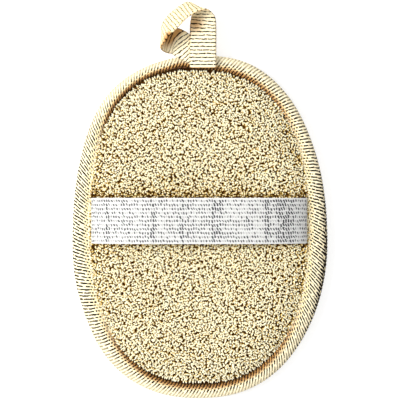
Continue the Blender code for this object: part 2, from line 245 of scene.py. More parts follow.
class LoofahSettings(bpy.types.PropertyGroup):
    """The pressed loofah mat on the underside."""

    fibres: IntProperty(name="Fibres", description="Plant fibres on the mat's face", default=1500)
    fibre: length_setting("Fibre", "Radius of the thickest fibres", 0.36)
    thickness: length_setting("Mat", "Thickness of the pressed mat behind its fibres", 1.5)
    seed: IntProperty(name="Seed", description="Picks another scatter of fibres", default=23)
    straw: colour_setting("Straw", "Colour of the fibres", (0.82, 0.65, 0.38))
    husk: colour_setting("Husk", "Colour deep in the mat", (0.36, 0.23, 0.10))


class StageSettings(bpy.types.PropertyGroup):
    """The floor, the lights and the camera."""

    picture_width: length_setting("Picture width", "Width that the camera takes in, at the rim's height", 176)
    middle_x: length_setting("Middle X", "Where the picture's middle lies along X", 0.35)
    middle_y: length_setting("Middle Y", "Where the picture's middle lies along Y", -0.75)
    lens: FloatProperty(name="Lens", description="Focal length", default=150, unit="CAMERA")
    key: FloatProperty(name="Key", description="Power of the light at the left", default=12.6, unit="POWER")
    fill: FloatProperty(name="Fill", description="Power of the light overhead", default=3.0, unit="POWER")
    sky: FloatProperty(name="Sky", description="Strength of the even light from all round", default=0.67)


class BathPadSettings(bpy.types.PropertyGroup):
    """Every setting of the bath pad."""

    pad: PointerProperty(type=PadSettings)
    terry: PointerProperty(type=TerrySettings)
    binding: PointerProperty(type=BindingSettings)
    strap: PointerProperty(type=StrapSettings)
    loop: PointerProperty(type=LoopSettings)
    loofah: PointerProperty(type=LoofahSettings)
    stage: PointerProperty(type=StageSettings)


def settings():
    return bpy.context.scene.bath_pad


class Value:
    """A number in a material, on which Python's arithmetic adds Math nodes."""

    def __init__(self, finish, socket):
        self.finish = finish
        self.socket = socket

    def maths(self, operation, *operands):
        inputs = dict(enumerate(operands))
        return self.finish.node("ShaderNodeMath", {"operation": operation}, inputs)

    def __add__(self, other):
        return self.maths("ADD", self, other)

    def __sub__(self, other):
        return self.maths("SUBTRACT", self, other)

    def __rsub__(self, other):
        return self.maths("SUBTRACT", other, self)

    def __mul__(self, other):
        return self.maths("MULTIPLY", self, other)

    __radd__ = __add__
    __rmul__ = __mul__

    def fraction(self):
        return self.maths("FRACT", self)

    def whole(self):
        return self.maths("FLOOR", self)

    def size(self):
        return self.maths("ABSOLUTE", self)

    def at_most(self, other):
        return self.maths("MINIMUM", self, other)

    def at_least(self, other):
        return self.maths("MAXIMUM", self, other)

    def off_middle(self):
        """0 halfway between two whole numbers and 1 at each of them."""
        return ((self.fraction() - 0.5) * 2).size()

    def rise(self, low, high):
        """0 below low, 1 above high and an even S between them."""
        ends = {"Value": self, "From Min": low, "From Max": high}
        return self.finish.node("ShaderNodeMapRange", {"interpolation_type": "SMOOTHSTEP"}, ends)


class Finish:
    """One procedural material and the nodes in it."""

    def __init__(self, name, **constants):
        self.material = bpy.data.materials.new(name)
        self.material.use_nodes = True
        self.tree = self.material.node_tree
        self.shader = self.tree.nodes["Principled BSDF"]
        for socket, value in constants.items():
            self.shader.inputs[socket.replace("_", " ")].default_value = value

    def feed(self, socket, value):
        if isinstance(value, Value):
            self.tree.links.new(value.socket, socket)
        elif getattr(socket, "type", "") == "RGBA" and len(value) == 3:
            socket.default_value = (*value, 1)
        else:
            socket.default_value = value

    def node(self, kind, options=None, inputs=None, output=0):
        """Adds a node: its options first, then the value or link of each of its sockets."""
        node = self.tree.nodes.new(kind)
        for key, value in (options or {}).items():
            setattr(node, key, value)
        for key, value in (inputs or {}).items():
            self.feed(node.inputs[key], value)
        return Value(self, node.outputs[output])

    def attribute(self, name):
        return self.node("ShaderNodeAttribute", {"attribute_name": name}, output="Fac")

    def place(self):
        return self.node("ShaderNodeTexCoord", output="Object")

    def sheet_place(self):
        """The piece's own UV map, as two numbers."""
        uv = self.node("ShaderNodeTexCoord", output="UV")
        return [self.node("ShaderNodeSeparateXYZ", inputs={0: uv}, output=axis) for axis in (0, 1)]

    def pair(self, u, v):
        return self.node("ShaderNodeCombineXYZ", inputs={0: u, 1: v})

    def noise(self, scale, detail, vector=None):
        inputs = {"Vector": vector or self.place(), "Scale": scale, "Detail": detail}
        return self.node("ShaderNodeTexNoise", inputs=inputs)

    def sheet_noise(self, u, v, detail=2):
        """Noise that lies on a piece's own UV map, whose two numbers come in scaled."""
        return self.noise(1, detail, self.pair(u, v))

    def chance(self, column, row):
        """A random number from 0 to 1 for each cell of a grid."""
        cell = self.pair(column + 0.5, row + 0.5)
        return self.node("ShaderNodeTexWhiteNoise", {"noise_dimensions": "2D"}, {"Vector": cell})

    def blend(self, share, first, second, kind="MIX"):
        """share of the second colour over the first."""
        options = {"data_type": "RGBA", "blend_type": kind}
        return self.node("ShaderNodeMix", options, {0: share, 6: first, 7: second}, output=2)

    def colour(self, value):
        self.feed(self.shader.inputs["Base Color"], value)

    def relief(self, height, depth):
        inputs = {"Height": height, "Distance": depth, "Strength": 1.0}
        self.feed(self.shader.inputs["Normal"], self.node("ShaderNodeBump", inputs=inputs))


def joined(*parts):
    """The parts of points, put side by side. A part may be one number for all of them."""
    return np.stack(np.broadcast_arrays(*parts), -1)


def clamp(numbers):
    return np.clip(numbers, 0, 1)


def grid_faces(rows, columns, rows_close=False):
    """The quads of a grid of points. Each row closes on itself, and the last row may close on the first."""
    down = np.arange(rows if rows_close else rows - 1)[:, None]
    across = np.arange(columns)[None, :]
    below = (down + 1) % rows
    beside = (across + 1) % columns
    here = down * columns
    there = below * columns
    corners = joined(here + across, here + beside, there + beside, there + across)
    return corners.reshape(-1, 4)


def end_caps(rows, columns):
    """The two faces that close a grid of points at its first and last row."""
    ring = np.arange(columns)
    return [ring[::-1], (rows - 1) * columns + ring]


def encloses(mesh):
    """Six times the volume inside a mesh: the sum of the triple products of its triangles' corners."""
    mesh.calc_loop_triangles()
    corners = np.empty(len(mesh.loop_triangles) * 3, np.int32)
    mesh.loop_triangles.foreach_get("vertices", corners)
    places = np.empty(len(mesh.vertices) * 3, np.float32)
    mesh.vertices.foreach_get("co", places)
    first, second, third = places.reshape(-1, 3).astype(float)[corners.reshape(-1, 3)].transpose(1, 0, 2)
    return (np.cross(first, second) * third).sum()


def add_piece(name, points, quads, finish, triangles=(), caps=(), uv=None, lap=None, **attributes):
    """Makes a smooth mesh of quads, triangles and end caps, turned so that its faces point outwards. Where
    the UV map closes on itself after a lap, the faces that close it run on into the next lap.
    """
    points = np.asarray(points, float).reshape(-1, 3)
    faces = [face for kind in (quads, triangles, caps) for face in np.asarray(kind, int).tolist()]
    mesh = bpy.data.meshes.new(name)
    mesh.from_pydata(points.tolist(), [], faces)
    if encloses(mesh) < 0:
        mesh.flip_normals()
    mesh.polygons.foreach_set("use_smooth", np.ones(len(mesh.polygons), bool))
    if uv is not None:
        corner_points = np.empty(len(mesh.loops), np.int32)
        mesh.loops.foreach_get("vertex_index", corner_points)
        corners = np.asarray(uv, float).reshape(-1, 2)[corner_points]
        if lap:
            turns = corners[: 4 * len(quads), 0].reshape(-1, 4)
            turns += lap * (turns < turns.max(1, keepdims=True) - lap / 2)
        mesh.uv_layers.new(name="cloth").data.foreach_set("uv", corners.ravel())
    for key, values in attributes.items():
        attribute = mesh.attributes.new(key, "FLOAT", "POINT")
        attribute.data.foreach_set("value", np.asarray(values, np.float32).ravel())
    mesh.update()
    piece = bpy.data.objects.new(name, mesh)
    piece.data.materials.append(finish.material)
    bpy.context.scene.collection.objects.link(piece)
    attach(piece, BODY)
    return piece


def unit(vectors):
    return vectors / np.maximum(np.linalg.norm(vectors, axis=-1, keepdims=True), 1e-12)


def run_along(points):
    """How far along its line each point lies, as the sum of the steps up to it."""
    steps = np.linalg.norm(np.diff(points, axis=-2), axis=-1)
    return np.concatenate([np.zeros((*steps.shape[:-1], 1)), np.cumsum(steps, -1)], -1)


def fade(distance, reach):
    """1 at no distance, falling evenly to 0 at a reach in millimetres."""
    return clamp(1 - distance / (reach * MM))


def ridge(count, power):
    """A round-topped ridge over each whole number's cell: the square root of 1 less a power of the distance
    from the cell's middle, which is 1 at the cell's edges.
    """
    return np.sqrt(clamp(1 - (np.abs((count % 1) - 0.5) * 2) ** power))


def round_spline(places, values, wanted, period=None):
    """Values at wanted places: a cubic whose slope at each station joins the stations on both sides of it."""
    places = np.asarray(places, float)
    values = np.asarray(values, float).reshape(len(places), -1)
    if period:
        places = np.concatenate([places[-2:] - period, places, places[:3] + period])
        values = np.concatenate([values[-2:], values, values[:3]])
    slopes = np.gradient(values, places, axis=0)
    k = np.clip(np.searchsorted(places, wanted, side="right") - 1, 0, len(places) - 2)
    gap = places[k + 1] - places[k]
    t = ((wanted - places[k]) / gap)[..., None]
    gap = gap[..., None]
    start = (1 + 2 * t) * (1 - t) ** 2 * values[k] + t * (1 - t) ** 2 * gap * slopes[k]
    return start + t * t * (3 - 2 * t) * values[k + 1] + t * t * (t - 1) * gap * slopes[k + 1]


def oval(x, y):
    """The oval's measure, 0 in the middle and 1 on the rim, and how fast it grows outwards, for points that
    are measured from the pad's middle: the root of the sum of both shares of the half sizes, each raised to
    the roundness.
    """
    pad = settings().pad
    power = pad.roundness
    a = np.abs(x) / (pad.width / 2)
    b = np.abs(y) / (pad.length / 2)
    measure = np.maximum((a**power + b**power) ** (1 / power), 1e-9)
    slope_x = np.sign(x) * (a / measure) ** (power - 1) / (pad.width / 2)
    slope_y = np.sign(y) * (b / measure) ** (power - 1) / (pad.length / 2)
    return measure, slope_x, slope_y


def spot(points, middle, reach):
    """1 at a place that is measured from the pad's middle in millimetres, fading out over its reach."""
    x = (points[..., 0] / MM - middle[0]) / reach[0]
    y = (points[..., 1] / MM - middle[1]) / reach[1]
    return np.exp(-(x**2) - y**2)


def inset_of(x, y):
    """How far in from the rim each point lies: what its measure lacks of 1, over the measure's growth."""
    measure, slope_x, slope_y = oval(x, y)
    return (1 - measure) / np.hypot(slope_x, slope_y)


def rim(shares):
    """Points on the rim at even distances along it, the outward directions there, how fast the oval's measure
    grows, and the girth. A share of 0 is at the right and 0.25 near the top.
    """
    pad = settings().pad
    turns = np.linspace(0, 2 * math.pi, RIM_SAMPLES)
    x = np.sign(np.cos(turns)) * np.abs(np.cos(turns)) ** (2 / pad.roundness) * pad.width / 2
    y = np.sign(np.sin(turns)) * np.abs(np.sin(turns)) ** (2 / pad.roundness) * pad.length / 2
    along = run_along(joined(x, y))
    wanted = (shares % 1) * along[-1]
    points = joined(np.interp(wanted, along, x), np.interp(wanted, along, y))
    _, slope_x, slope_y = oval(points[..., 0], points[..., 1])
    growth = np.hypot(slope_x, slope_y)
    return points, joined(slope_x, slope_y) / growth[..., None], growth, along[-1]


def rim_as_sewn(x, y):
    """The wander of the outline, the inset of the tape's inner edge and the groove's openness, in the
    direction of each point from the pad's middle.
    """
    stations = np.array(RIM_STATIONS, float)
    found = round_spline(stations[:, 0], stations[:, 1:], np.degrees(np.arctan2(y, x)), period=360)
    return found[..., 0] * MM, found[..., 1] * MM, clamp(found[..., 2])


def strap_shade(y):
    """Painted shadow of the strap on the pile beside it: how much darker its loops are coloured there. It
    fades out as e to the minus of the distance.
    """
    strap = settings().strap
    above = (y - strap.offset - strap.width / 2) / MM
    below = (strap.offset - strap.width / 2 - y) / MM
    upper = np.where(above > 0, 0.68 * np.exp(-above / 2.4), 0)
    return upper + np.where(below > 0, 0.45 * np.exp(-below / 1.4), 0)


def pile_start(x, y):
    """The inset at which the pile begins: over the tape's edge, or past the groove where that is open."""
    _, edge, groove = rim_as_sewn(x, y)
    return edge + (2.6 * groove - 1.0) * MM


def terry_height(x, y):
    """The ground cloth's height: level under the tape, then up over a rounded shoulder to the crown."""
    terry = settings().terry
    climb = clamp((inset_of(x, y) - pile_start(x, y)) / terry.shoulder)
    return terry.edge + (terry.crown - terry.edge) * (1 - (1 - climb) ** 4) ** 0.75


def lens(name, finish, top, bottom, steps=192, rings=34):
    """A closed lens, gripped by the tape. Its rings run from the middle of the top, out to the edge and back
    to the middle of the bottom, and top and bottom give the heights at a place.
    """
    points, _, growth, _ = rim(np.arange(steps) / steps)
    widest = 1 - (settings().binding.pocket + CLEAR) * growth
    shares = np.linspace(0, 1, rings + 1)[1:] ** 0.8
    flat = points[None] * (widest * shares[:, None])[..., None]
    x, y = flat[..., 0], flat[..., 1]
    upper = joined(x, y, top(x, y))
    lower = joined(x, y, bottom(x, y))[::-1]
    skin = np.concatenate([upper, lower])
    zero = np.zeros(1)
    poles = np.array([[0, 0, top(zero, zero)[0]], [0, 0, bottom(zero, zero)[0]]])
    rows = len(skin)
    everything = np.concatenate([skin.reshape(-1, 3), poles])
    everything[:, 1] += settings().pad.middle_y
    quads = grid_faces(rows, steps)
    here = np.arange(steps)
    beside = (here + 1) % steps
    pole = rows * steps
    last = pole - steps
    upper_fan = joined(pole, beside, here)
    lower_fan = joined(pole + 1, last + here, last + beside)
    return add_piece(name, everything, quads, finish, triangles=np.concatenate([upper_fan, lower_fan]))


def tubes(lines, binormals, radii, sides):
    """Many closed tubes at once. Round each point of each line stands a ring, in the plane of the binormal
    and the direction at right angles to both it and the line. It returns points, quads and the end caps.
    """
    count, stations, _ = lines.shape
    along = unit(np.gradient(lines, axis=1))
    side = unit(np.cross(along, binormals[:, None]))
    lift = np.cross(side, along)
    turns = np.arange(sides) / sides * 2 * math.pi
    ring = np.cos(turns)[:, None] * side[:, :, None] + np.sin(turns)[:, None] * lift[:, :, None]
    points = lines[:, :, None] + ring * radii[:, :, None, None]
    quads = grid_faces(stations, sides)
    offsets = (np.arange(count) * stations * sides)[:, None]
    caps = np.concatenate([offsets + cap for cap in end_caps(stations, sides)])
    return points.reshape(-1, 3), (offsets[..., None] + quads).reshape(-1, 4), caps


def add_tubes(name, lines, binormals, radii, finish, sides, **values):
    """One piece of many tubes. Its material's values come one for each tube or for each point of its line."""
    points, quads, caps = tubes(lines, binormals, radii, sides)
    shape = (*lines.shape[:2], sides)
    spread = {key: np.broadcast_to(v.reshape(len(lines), -1, 1), shape) for key, v in values.items()}
    return add_piece(name, points, quads, finish, caps=caps, **spread)


def terry_ground_finish():
    """The ground cloth seen between the loops, painted dark as the shade that falls there, with a trace of
    weave.
    """
    terry = settings().terry
    finish = Finish("terry_ground", Roughness=1.0, Specular_IOR_Level=0.1)
    patches = finish.noise(750, 2)
    finish.colour(finish.blend(patches.rise(0.5, 0.75), terry.ground, terry.shade))
    finish.relief(patches, 0.2 * MM)
    return finish


def terry_yarn_finish():
    """Unbleached cotton loops, cream at the crown and darker down their sides to brown at the foot, which is
    painted shade, with patches, flecks and a twist.
    """
    terry = settings().terry
    finish = Finish("terry_yarn", Roughness=0.95, Specular_IOR_Level=0.1)
    rise = finish.attribute("rise")
    tone = finish.attribute("tone")
    patches = finish.noise(70, 2)
    # The rise attribute is painted light: low at the feet, in shade, and high at the lit crowns.
    lit = rise + (tone - 0.5) * 0.3 + (patches - 0.5) * 0.3
    warm = finish.blend(lit.rise(0.18, 0.37), terry.shade, terry.tan)
    body = finish.blend(lit.rise(0.35, 0.6), warm, terry.cream)
    fleck = finish.noise(1500, 2).rise(0.35, 0.65)
    finish.colour(finish.blend(0.15, body, finish.blend(fleck, terry.tan, terry.cream), "SOFT_LIGHT"))
    finish.relief(finish.noise(5200, 2), 0.08 * MM)
    return finish


def tape_finish(name, dash, thinness):
    """Ribbed cotton tape. UV's first number counts the ribs and its second runs along them in millimetres.
    Each groove is a dark line, thin and a little wavy, that breaks into dashes of the given length, set off
    from the next groove's as bricks are, and into dots where the tape is dotted.
    """
    binding = settings().binding
    finish = Finish(name, Roughness=0.9, Specular_IOR_Level=0.1)
    ribs, along = finish.sheet_place()
    wave = finish.sheet_noise(ribs * 0.6, along * 0.45) - 0.5
    fine = finish.sheet_noise(ribs * 1.9, along * 2.6) - 0.5
    ribs = ribs + wave * 0.6 + fine * 0.3
    # The lines' weight attribute: above 1, on the rim's side away from the key light, it is painted shade
    # that widens and darkens the lines.
    inked = finish.attribute("inked")
    far_shade = (inked - 1).at_least(0.0)
    groove = (ribs.off_middle() + far_shade * 0.6).rise(thinness - 0.1, thinness + 0.12)
    brick = (ribs + 0.5).whole() * 0.41
    dashes = (along * (1 / dash) + brick + wave * 0.8).off_middle()
    dots = (along * (1 / 1.45) + brick + wave).off_middle()
    dotted = finish.attribute("dotted")
    kept = (1 - dashes.rise(0.84, 0.95)) * (1 - dotted) + (1 - dots.rise(0.46, 0.72)) * dotted
    strength = finish.sheet_noise(ribs * 0.9, along * 0.7, 1).rise(0.25, 0.45)
    dark = (groove * kept * (0.55 + 0.45 * strength)).rise(0.25, 0.75) * inked
    thread = finish.sheet_noise(ribs * 1.5, along * 9)
    shade = tuple(c * s for c, s in zip(binding.cream, (0.76, 0.60, 0.30), strict=True))
    knots = thread.rise(0.35, 0.65) * (1 - 0.5 * groove)
    cream = finish.blend(knots + (1 - knots) * (1 - dotted) * 0.35, shade, binding.cream)
    # Painted shade from the piece's brown attribute: brown on the way down into the seam and in the loop's
    # folds, near black deep in the seam.
    umber = finish.attribute("umber")
    body = finish.blend(umber.rise(0.1, 0.7) * (0.8 + 0.2 * knots), cream, binding.umber)
    body = finish.blend((umber + groove * 0.4).rise(0.76, 1.1), body, binding.seam)
    finish.colour(finish.blend(dark.at_most(1.0), body, binding.groove))
    finish.relief((1 - groove) + thread * 0.3, 0.12 * MM)
    return finish


def strap_finish():
    """White woven elastic. UV runs along and across the strap in millimetres: between the cords run rows of
    fine dark weft ticks, slanting and uneven, over a fainter twill. They stand taller and darker in some
    columns and towards the right seam.
    """
    strap = settings().strap
    finish = Finish("strap_elastic", Roughness=0.75, Sheen_Weight=0.1)
    along, across = finish.sheet_place()
    wander = finish.sheet_noise(along * 0.35, across * 0.5) - 0.5
    pitch = strap.width / MM / (strap.cords + 0.5)
    rows = across * (1 / pitch) + wander * 0.15 + 0.75
    row = rows.whole()
    side = rows.fraction() - 0.5
    ticks = along * (1 / 1.15) + finish.chance(row, 7.0) * 3 + side * 0.5 + wander * 1.2
    tick = ticks.off_middle()
    chance = finish.chance(ticks.whole(), row)
    shift = finish.chance(ticks.whole(), row + 40) - 0.5
    opened = finish.chance((along * (1 / 0.82) + wander * 0.6).whole(), 3.0).rise(0.80, 0.95)
    opened = opened * finish.sheet_noise(along * 0.11, across * 0.16).rise(0.4, 0.65)
    for place, reach in STRAP_COLUMNS:
        opened = opened + (1 - (along - place).size().rise(0.4 * reach, reach)) * 0.8
    opened = opened.at_most(1.0)
    height = (side + shift * 0.3).size() - opened * 0.12
    strength = chance.rise(0.05, 0.75) * 0.6 + 0.25 + opened * chance
    mark = (1 - (tick - opened * 0.15).rise(0.32, 0.6)) * (1 - height.rise(0.2, 0.36)) * strength
    half = strap.width / MM / 2
    selvage = (across - half).size().rise(half - 0.85, half - 0.45)
    gap = 1 - side.size().rise(0.1, 0.35)
    speck = finish.sheet_noise(along * 1.9, across * 2.2, 1).rise(0.5, 0.75)
    twill = (along * (1 / 0.95) + side.size() * 1.8 + wander).off_middle().rise(0.4, 0.7)
    dark = (mark.rise(0.1, 0.65) + (0.06 + 0.4 * speck) * gap + 0.16 * twill) * (1 - selvage)
    finish.colour(finish.blend(dark.at_most(1.0), strap.white, strap.grey))
    finish.relief((1 - gap) * (1 - 0.6 * mark), 0.15 * MM)
    return finish


def loofah_fibre_finish():
    """Dried plant fibre: straw with darker lengths and pale worn streaks."""
    loofah = settings().loofah
    finish = Finish("loofah_fibre", Roughness=0.7)
    tone = finish.attribute("tone")
    streak = finish.noise(420, 3)
    dry = finish.blend((tone * 0.7 + streak * 0.5).rise(0.2, 0.9), loofah.husk, loofah.straw)
    finish.colour(finish.blend(streak.rise(0.55, 0.85), dry, (0.86, 0.72, 0.46)))
    finish.relief(streak, 0.1 * MM)
    return finish


def loofah_mat_finish():
    """The pressed mat behind the fibres: a tangle of dark pores and finer fibres."""
    loofah = settings().loofah
    finish = Finish("loofah_mat", Roughness=0.85)
    place = {"Vector": finish.place(), "Scale": 420}
    cells = finish.node("ShaderNodeTexVoronoi", {"feature": "DISTANCE_TO_EDGE"}, place)
    fibres = 1 - cells.rise(0.02, 0.16)
    finish.colour(finish.blend(fibres * finish.noise(300, 3).rise(0.3, 0.6), loofah.husk, loofah.straw))
    finish.relief(fibres, 0.3 * MM)
    return finish


def foam_finish():
    """Soft cream foam with open pores."""
    finish = Finish("core_foam", Roughness=0.95)
    pores = finish.node("ShaderNodeTexVoronoi", inputs={"Vector": finish.place(), "Scale": 1400})
    hole = 1 - pores.rise(0.12, 0.42)
    finish.colour(finish.blend(hole, (0.86, 0.78, 0.55), (0.45, 0.34, 0.17)))
    finish.relief(1 - hole, 0.3 * MM)
    return finish


def thread_finish():
    """Cream sewing thread with a fine twist, turned dark brown as painted shade where its tone is low."""
    finish = Finish("sewing_thread", Roughness=0.7)
    twist = finish.noise(2600, 2)
    thread = finish.blend(twist, (0.80, 0.68, 0.45), (1.0, 0.95, 0.80))
    finish.colour(finish.blend(finish.attribute("tone"), (0.10, 0.035, 0.008), thread))
    finish.relief(twist, 0.06 * MM)
    return finish


class MakeTerryGround(bpy.types.Operator):
    """Makes the terry's ground cloth, a thin closed lens that swells over the foam."""

    bl_idname = "bath_pad.terry_ground"
    bl_label = "Terry ground cloth"

    def execute(self, context):
        terry = settings().terry
        cloth = lens(
            "terry_ground",
            terry_ground_finish(),
            lambda x, y: terry_height(x, y) - GROUND_SINK,
            lambda x, y: terry_height(x, y) - terry.thickness,
        )
        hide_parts("terry_face")
        return {"FINISHED"}


class MakeTerryPile(bpy.types.Operator):
    """Covers the ground cloth with loops of yarn, in a curling fringe where the seam's groove is open."""

    bl_idname = "bath_pad.terry_pile"
    bl_label = "Terry pile"

    def execute(self, context):
        terry = settings().terry
        pad = settings().pad
        rng = np.random.default_rng(terry.seed)
        pitch = terry.spacing
        columns = np.arange(-pad.width / 2, pad.width / 2, pitch)
        rows = np.arange(-pad.length / 2, pad.length / 2, pitch * ROW_STEP)
        y, x = (grid.astype(float) for grid in np.meshgrid(rows, columns, indexing="ij"))
        x[1::2] += pitch / 2
        x = (x + rng.normal(0, SCATTER, x.shape) * pitch).ravel()
        y = (y + rng.normal(0, SCATTER, y.shape) * pitch).ravel()
        _, _, groove = rim_as_sewn(x, y)
        depth = inset_of(x, y) - pile_start(x, y)
        kept = depth > rng.normal(-0.4, 0.6, len(x)) * MM * (1 - groove)
        x, y, depth, groove = x[kept], y[kept], depth[kept], groove[kept]
        count = len(x)
        _, slope_x, slope_y = oval(x, y)
        outward = unit(joined(slope_x, slope_y, 0))
        step = 0.3 * MM
        height = terry_height(x, y)
        tilt_x = (height - terry_height(x + step, y)) / step
        tilt_y = (height - terry_height(x, y + step)) / step
        normal = unit(joined(tilt_x, tilt_y, 1))
        height = height + 1.3 * MM * (1 - groove) * fade(depth, 2.4)
        heading = rng.uniform(0, 2 * math.pi, count)
        across = joined(np.cos(heading), np.sin(heading), 0)
        lean_way = joined(-np.sin(heading), np.cos(heading), 0)
        fringe = (groove * fade(depth, 1.6))[:, None]
        sideways = joined(-outward[:, 1], outward[:, 0], 0)
        across = unit(across * (1 - fringe) + fringe * (sideways + 0.6 * across))
        lean_way = unit(lean_way * (1 - fringe) + fringe * (outward * 1.4 + 0.4 * lean_way))
        fringe = fringe[:, 0]
        lean = rng.uniform(0.2, 1.3, count) * (1 - fringe) + rng.uniform(1.1, 2.0, count) * fringe
        span = terry.loop_span * rng.uniform(0.75, 1.15, count)
        rise = terry.loop_height * rng.uniform(0.85, 1.15, count)
        tip = lean * terry.loop_height * 0.7
        reach = unit(normal * rise[:, None] + lean_way * tip[:, None])
        tall = np.hypot(rise, tip)
        t = np.linspace(0, 1, LOOP_POINTS)
        arch = np.sin(math.pi * t) ** 0.8
        curl = t - 0.5 + 0.16 * np.sin(2 * math.pi * t)
        base = joined(x, y + pad.middle_y, height - FOOT_SINK)
        lines = (
            base[:, None]
            + across[:, None] * (span[:, None] * curl)[..., None]
            + reach[:, None] * (tall[:, None] * arch)[..., None]
        )
        plane = unit(np.cross(across, reach))
        radii = terry.yarn * rng.uniform(0.85, 1.2, count)[:, None] * (0.8 + 0.2 * arch)
        tone = rng.uniform(0, 1, count)
        # The loops' rise is painted light: it grows up each loop from the shade at its foot to its lit crown,
        # and is raised, as painted light, on loops over the tape, in the fringe and within 11 mm of an open
        # groove.
        shown = clamp((lines[..., 2] - (height - GROUND_SINK)[:, None]) / (1.15 * MM))
        over_tape = (1 - groove) * fade(depth, 1.4)
        lit_near_groove = 0.3 * groove * fade(depth, 11)
        shown = clamp(shown + (0.45 * fringe + 0.35 * over_tape + lit_near_groove)[:, None] * arch)
        # Painted shadow of the strap: the loops beside it are coloured darker, most towards their feet.
        shown = clamp(shown - strap_shade(y)[:, None] * (1.75 - arch))
        finish = terry_yarn_finish()
        thirds = np.array_split(np.argsort(y, kind="stable"), 3)
        for third, part in zip(("lower", "middle", "upper"), thirds, strict=True):
            loops = (lines[part], plane[part], radii[part])
            piece = add_tubes(f"terry_pile_{third}", *loops, finish, 3, tone=tone[part], rise=shown[part])
        return {"FINISHED"}


def binding_profile(share_around, steps):
    """The folded tape's outside, from its inner top edge over the rim to its inner bottom edge: insets,
    heights and distances along the tape, for every place round the rim. A smooth curve joins the stations.
    """
    binding = settings().binding
    points, outward, growth, _ = rim(share_around)
    wander, edge, groove = rim_as_sewn(points[:, 0], points[:, 1])
    fold = (binding.top + binding.bottom) / 2
    lip = 8.3 * MM - 0.9 * MM * groove
    under = binding.under_width
    insets = joined(
        edge,
        edge * 0.86,
        edge * 0.55,
        edge * 0.33 - 0.4 * wander,
        0.1 * edge - 0.8 * wander,
        -wander,
        0.16 * under - 0.8 * wander,
        0.55 * under,
        under,
    )
    crest = binding.top
    level = (crest, crest - 0.22 * MM, 7.75 * MM, fold, 3.02 * MM, 1.8 * MM, 2.9 * MM)
    heights = joined(lip, lip + 0.62 * (crest - lip), *level)
    places = np.array([0, 0.06, 0.2, 0.3, 0.42, 0.52, 0.64, 0.82, 1.0])
    wanted = np.linspace(0, 1, steps)
    inset = round_spline(places, insets.T, wanted).T
    height = round_spline(places, heights.T, wanted).T
    length = run_along(joined(inset, height))
    return points, outward, growth, inset, height, length, edge, groove


class MakeBindingTape(bpy.types.Operator):
    """Folds the ribbed tape round the rim, with a pocket inside it for the layers."""

    bl_idname = "bath_pad.binding_tape"
    bl_label = "Binding tape"

    def execute(self, context):
        binding = settings().binding
        around = binding.ribs * RIB_STATIONS
        steps = BINDING_STEPS
        shares = np.arange(around) / around
        _, _, _, girth = rim(np.zeros(1))
        points, outward, growth, inset, height, length, edge, groove = binding_profile(shares, steps)
        lean = math.tan(binding.rib_lean) * inset / girth
        upper = height > (binding.top + binding.bottom) / 2
        count = shares[:, None] * binding.ribs - np.where(upper, 1, -1) * lean * binding.ribs
        rib = ridge(count, 2.2)
        along_section = np.gradient(joined(inset, height), axis=1)
        normal = unit(joined(along_section[..., 1], -along_section[..., 0]))
        middle = joined(inset.mean(1), height.mean(1))[:, None]
        away = np.sign((normal * (joined(inset, height) - middle)).sum(-1, keepdims=True))
        normal = normal * np.where(away == 0, 1, away)
        ends = np.minimum(np.arange(steps), np.arange(steps)[::-1]) / 2
        lift = binding.rib_height * (rib - 1) * clamp(ends)
        inset = inset + normal[..., 0] * lift
        height = height + normal[..., 1] * lift
        inner_inset = joined(binding.under_width, binding.pocket, binding.pocket, edge)
        inner_height = np.broadcast_to(np.array([3.6, 3.6, 7.6, 7.0]) * MM, inner_inset.shape)
        inset = np.concatenate([inset, inner_inset], 1)
        height = np.concatenate([height, inner_height], 1)
        total = inset.shape[1]
        flat = points[:, None] * (1 - np.maximum(inset, 0) * growth[:, None])[..., None]
        flat = flat + outward[:, None] * np.maximum(-inset, 0)[..., None]
        skin = np.concatenate([flat, height[..., None]], -1)
        # Painted shade: the tape is coloured brown on its slope down into an open seam groove, and under the
        # hanging loop.
        slope = clamp((inset / edge[:, None] - 0.45) / 0.52)
        umber = slope * groove[:, None] * (height > TAPE_SHOWS)
        umber[:, steps:] = groove[:, None]
        umber = umber + 0.45 * spot(skin, (-8.0, 71.3), (5.0, 3.2))
        outer = clamp((0.5 - inset / edge[:, None]) / 0.3)
        inked = 1 - 0.7 * groove[:, None] * outer * (height > TAPE_SHOWS)
        # Painted shade: the lines are weighted darker and wider on the rim's right-hand side, away from the
        # key light.
        far_side = clamp(1.3 * outward[:, 0] - 0.3)[:, None]
        inked = inked + 0.8 * far_side * fade(inset, 1.8)
        skin[..., 1] += settings().pad.middle_y
        uv = joined(count, length / MM)
        uv = np.pad(uv, ((0, 0), (0, total - steps), (0, 0)), mode="edge")
        piece = add_piece(
            "binding_tape",
            skin,
            grid_faces(around, total, rows_close=True),
            tape_finish("binding_cotton", 5.4, 0.50),
            uv=uv,
            lap=binding.ribs,
            umber=umber,
            inked=inked,
            dotted=clamp((4.0 - uv[..., 1]) / 1.2),
        )
        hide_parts("edge_binding")
        return {"FINISHED"}


def strap_line(stations):
    """The strap's underside in side view, at even distances: it rises steeply at each seam and runs level
    over the hand's gap, as one less the 3.5th power of the share of its reach, to the power 0.6.
    """
    strap = settings().strap
    share = np.sin(np.linspace(-math.pi / 2, math.pi / 2, STRAP_SAMPLES))
    x = share * strap.reach
    z = strap.seam_height + (strap.crown - strap.seam_height) * (1 - np.abs(share) ** 3.5) ** 0.6
    along = run_along(joined(x, z))
    wanted = np.linspace(0, along[-1], stations)
    return np.interp(wanted, along, x), np.interp(wanted, along, z), wanted


